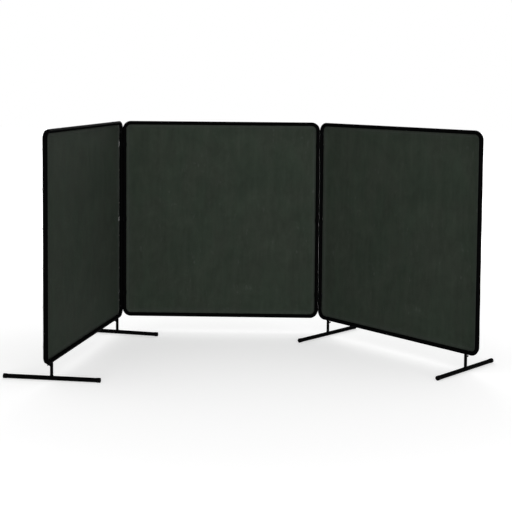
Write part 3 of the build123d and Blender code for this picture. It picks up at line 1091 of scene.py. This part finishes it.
def threaded_screw(foot, hardware):
    """A set screw along +Y in the foot's own frame: a rolled right-hand thread and a chamfered hex head."""
    height = middle(f"{foot}_set_screw").z
    head_start = extent(f"{foot}_post").x / 2 + hardware.shank_end
    made = Gathered()

    def add_rings(places, radius, sides):
        """Adds a ring for each place along the screw, where radius gives its shape."""
        shares = np.arange(sides) / sides
        points = []
        for y, extra in places:
            for share in shares:
                reach = radius(y, share, extra)
                points.append((reach * math.cos(TURN * share), y, height - reach * math.sin(TURN * share)))
        made.take(points, ring_faces(len(places), sides, False))

    length = head_start - hardware.tip
    steps = int(length / (hardware.thread_pitch / RINGS_TO_PITCH))
    shank = [(hardware.tip + length * step / steps, None) for step in range(steps + 1)]
    add_rings(shank, lambda y, share, _: screw_thread(y, share, hardware, head_start), THREAD_SIDES)
    head_end = head_start + hardware.head_height
    head = [
        (head_start, CUT_BELOW), (head_start + CHAMFER_BELOW, 1.0),
        (head_end - CHAMFER_ABOVE, 1.0), (head_end, CUT_ABOVE),
    ]
    add_rings(head, lambda _, share, cut: hex_edge(TURN * share, hardware, cut), HEAD_SIDES)
    return made


def foot_matrix(foot, panel):
    """A foot's own frame: its post's centre line on Z, and its bar along Y."""
    post = middle(f"{foot}_post")
    back = panel.matrix.to_3x3() @ Vector((0, 1, 0))
    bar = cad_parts[f"{foot}_foot_bar"].data
    spots = np.empty(len(bar.vertices) * 3)
    bar.vertices.foreach_get("co", spots)
    spots = spots.reshape(-1, 3) - np.array([post.x, post.y, 0])
    behind = spots @ np.array(back) > 0
    along = spots[behind].mean(0) - spots[~behind].mean(0)
    turn = math.atan2(along[1], along[0]) - math.pi / 2
    return Matrix.Translation((post.x, post.y, 0)) @ Matrix.Rotation(turn, 4, "Z")


def panels():
    """The places of the three panels by name."""
    return {name: PanelPlace(name) for name in STILES}


FIRST_SEED = 11


class AddCovers(bpy.types.Operator):
    """Sew the three cloth covers with their hems, snap holes, clip slots and stitching"""

    bl_idname = "welding_screen.add_covers"
    bl_label = "Cloth covers"

    def execute(self, context):
        cover = context.scene.welding_cover
        cloth, thread = canvas(cover), twisted_thread(cover)
        for seed, (name, panel) in enumerate(panels().items(), FIRST_SEED):
            points, faces = cover_mesh(panel, cover, seed)
            sheet = new_piece(f"{name}_cover_cloth", points, faces, cloth, panel.body,
                              panel.matrix)
            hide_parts(f"{name}_cover")
            sewn = stitching_mesh(panel, cover, seed)
            stitching = new_piece(f"{name}_hem_stitching", sewn.points, sewn.faces, thread,
                                  panel.body, panel.matrix)
        return {"FINISHED"}


class DressTubes(bpy.types.Operator):
    """Enamel the rails, stiles, corner bends and foot stubs"""

    bl_idname = "welding_screen.dress_tubes"
    bl_label = "Frame tubes"

    def execute(self, context):
        look = context.scene.welding_frame
        satin = enamel("satin_black_enamel", look.enamel, look.bare_steel, look.dust, roughness=0.5,
                       shine=0.02)
        for name, stiles in STILES.items():
            for node in (*stiles, f"{name}_bottom_rail", f"{name}_top_rail", f"{name}_corner_bends"):
                dress(node, satin)
        for name in ("left", "right"):
            dress(f"{name}_foot_stubs", satin)
        return {"FINISHED"}


class DressFeet(bpy.types.Operator):
    """Enamel the foot bars, posts and nuts, and fit their vinyl end caps"""

    bl_idname = "welding_screen.dress_feet"
    bl_label = "Feet"

    def execute(self, context):
        look, hardware = context.scene.welding_frame, context.scene.welding_hardware
        gloss = enamel("gloss_black_enamel", look.foot_enamel, look.bare_steel, look.dust, roughness=0.4,
                       shine=0.03)
        vinyl = moulded("end_cap_vinyl", hardware.vinyl, roughness=0.55, shine=0.04, grain=1500.0,
                        depth=0.00005)
        for foot in FEET:
            for part in ("foot_bar", "post", "weld_nut"):
                dress(f"{foot}_{part}", gloss)
            dress(f"{foot}_end_caps", vinyl)
        return {"FINISHED"}


class AddWelds(bpy.types.Operator):
    """Run the weld beads at the posts, nuts and stubs"""

    bl_idname = "welding_screen.add_welds"
    bl_label = "Welds"

    def execute(self, context):
        look = context.scene.welding_frame
        gloss = bpy.data.materials["gloss_black_enamel"]
        satin = bpy.data.materials["satin_black_enamel"]
        places = panels()
        for foot in FEET:
            made = foot_welds(foot, look)
            new_piece(f"{foot}_welds", made.points, made.faces, gloss, f"{foot}_foot",
                      foot_matrix(foot, places[foot.split("_")[0]]))
        for name in ("left", "right"):
            made = stub_welds(places[name], look)
            new_piece(f"{name}_stub_welds", made.points, made.faces, satin, places[name].body,
                      places[name].matrix)
        return {"FINISHED"}


class AddSetScrews(bpy.types.Operator):
    """Thread the set screws that hold the feet"""

    bl_idname = "welding_screen.add_set_screws"
    bl_label = "Set screws"

    def execute(self, context):
        hardware = context.scene.welding_hardware
        zinc = plated("black_zinc", hardware.zinc, roughness=0.38, dull=0.5)
        places = panels()
        for foot in FEET:
            made = threaded_screw(foot, hardware)
            place = foot_matrix(foot, places[foot.split("_")[0]])
            screw = new_piece(f"{foot}_threaded_screw", made.points, made.faces, zinc,
                              f"{foot}_foot", place, smooth=False)
            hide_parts(f"{foot}_set_screw")
        return {"FINISHED"}


class DressHardware(bpy.types.Operator):
    """Plate the snaps and joint screws, and mould the hinge clips"""

    bl_idname = "welding_screen.dress_hardware"
    bl_label = "Snaps, screws and clips"

    def execute(self, context):
        hardware = context.scene.welding_hardware
        nickel = plated("dulled_nickel", hardware.nickel, roughness=0.3, dull=0.55)
        nylon = moulded("black_nylon", hardware.nylon, roughness=0.52, shine=0.05, grain=1100.0,
                        depth=0.00008)
        zinc = bpy.data.materials["black_zinc"]
        for name in STILES:
            dress(f"{name}_snap_studs", nickel)
            dress(f"{name}_snap_caps", nickel)
            dress(f"{name}_joint_screws", zinc)
        for name in ("left", "right"):
            for level in CLIP_LEVELS:
                dress(f"{name}_{level}_hinge_clip", nylon)
        return {"FINISHED"}


# Each lamp's name, place, size and power as a share of the setting
LAMPS = (
    ("left_softbox", (-3.2, -17.1, 1.4), 4.0, 4.5),
    ("right_softbox", (9.0, -14.9, 1.4), 4.0, 4.15),
    ("back_softbox", (0.5, 9.0, 3.4), 4.0, 1.1),
)
LAMPS_AIM = Vector((0, 0, 0.9))
SENSOR_WIDTH = 36.0
FARTHEST_SEEN = 200.0


class SetStage(bpy.types.Operator):
    """Lay the floor, hang the lamps and stand the camera"""

    bl_idname = "welding_screen.set_stage"
    bl_label = "Stage"

    def execute(self, context):
        setting, scene = context.scene.welding_stage, context.scene
        finish = Finish("studio_floor")
        spot = finish.place()
        grain = finish.noise(spot, scale=2.0, detail=2.0, roughness=0.5)
        worn = [part * 0.95 for part in setting.floor]
        base = finish.mix(grain * 0.04, opaque(setting.floor), opaque(worn))
        lit = finish.add("ShaderNodeBsdfDiffuse", sockets={"Color": base})
        x, y, _ = finish.parts(spot)
        away = (x * x + y * y).within(setting.near**2, setting.far**2)
        glow = finish.seen_plainly() * (setting.glow + away * (1.0 - setting.glow))
        light = finish.add("ShaderNodeEmission", sockets={"Color": opaque(WHITE), "Strength": glow})
        finish.ends_in(finish.add("ShaderNodeAddShader", sockets={0: lit, 1: light}))
        half = setting.floor_size / 2
        mesh = bpy.data.meshes.new("studio_floor")
        corners = [(-half, -half, 0), (half, -half, 0), (half, half, 0), (-half, half, 0)]
        mesh.from_pydata(corners, [], [(0, 1, 2, 3)])
        mesh.materials.append(finish.holder)
        floor = bpy.data.objects.new("studio_floor", mesh)
        scene.collection.objects.link(floor)

        sky = Finish("studio_sky", sky=True)
        strength = setting.sky + sky.seen_plainly() * (1.0 - setting.sky)
        white_sky = sky.add("ShaderNodeBackground", sockets={"Color": opaque(WHITE), "Strength": strength})
        scene.world = sky.ends_in(white_sky)

        for name, place, size, share in LAMPS:
            data = bpy.data.lights.new(name, "AREA")
            data.shape, data.size, data.energy = "SQUARE", size, setting.lamp * share
            lamp = bpy.data.objects.new(name, data)
            lamp.location = place
            aim = LAMPS_AIM - Vector(place)
            lamp.rotation_euler = aim.to_track_quat("-Z", "Y").to_euler()
            scene.collection.objects.link(lamp)

        scene.view_settings.view_transform = "Standard"
        data = bpy.data.cameras.new("camera")
        data.sensor_width = SENSOR_WIDTH
        data.lens = SENSOR_WIDTH * setting.focal
        data.shift_y = setting.shift
        data.clip_end = FARTHEST_SEEN
        camera = bpy.data.objects.new("camera", data)
        yaw, pitch, roll = setting.yaw, setting.pitch, setting.roll
        ahead = Vector((math.sin(yaw) * math.cos(pitch), math.cos(yaw) * math.cos(pitch), -math.sin(pitch)))
        right = Vector((math.cos(yaw), -math.sin(yaw), 0))
        up = right.cross(ahead)
        across = math.cos(roll) * right + math.sin(roll) * up
        over = math.cos(roll) * up - math.sin(roll) * right
        turn = Matrix((across, over, -ahead)).transposed().to_4x4()
        camera.matrix_world = Matrix.Translation(setting.place) @ turn
        scene.collection.objects.link(camera)
        scene.camera = camera
        return {"FINISHED"}


STEPS = (SetStage, AddCovers, DressTubes, DressFeet, AddWelds, AddSetScrews, DressHardware)
SETTINGS = {
    "welding_cover": CoverSizes,
    "welding_frame": FrameFinish,
    "welding_hardware": HardwareFinish,
    "welding_stage": StageSetting,
}


class WeldingScreenPanel(bpy.types.Panel):
    """Settings and steps of the welding screen"""

    bl_idname = "VIEW3D_PT_welding_screen"
    bl_label = "Welding Screen"
    bl_space_type = "VIEW_3D"
    bl_region_type = "UI"
    bl_category = "Welding Screen"

    def draw(self, context):
        for step in STEPS:
            self.layout.operator(step.bl_idname)
        for name, group in SETTINGS.items():
            box = self.layout.box()
            settings = getattr(context.scene, name)
            for key in group.__annotations__:
                box.prop(settings, key)


def register():
    for group in (*SETTINGS.values(), *STEPS, WeldingScreenPanel):
        bpy.utils.register_class(group)
    for name, group in SETTINGS.items():
        setattr(bpy.types.Scene, name, PointerProperty(type=group))


def unregister():
    for name in SETTINGS:
        delattr(bpy.types.Scene, name)
    for group in reversed((*SETTINGS.values(), *STEPS, WeldingScreenPanel)):
        bpy.utils.unregister_class(group)


def main():
    """Registers the add-on and makes every piece in turn."""
    register()
    for step in STEPS:
        family, name = step.bl_idname.split(".")
        if getattr(getattr(bpy.ops, family), name)() != {"FINISHED"}:
            raise RuntimeError(f"{step.bl_label} did not finish")


if __name__ == "__main__":
    main()
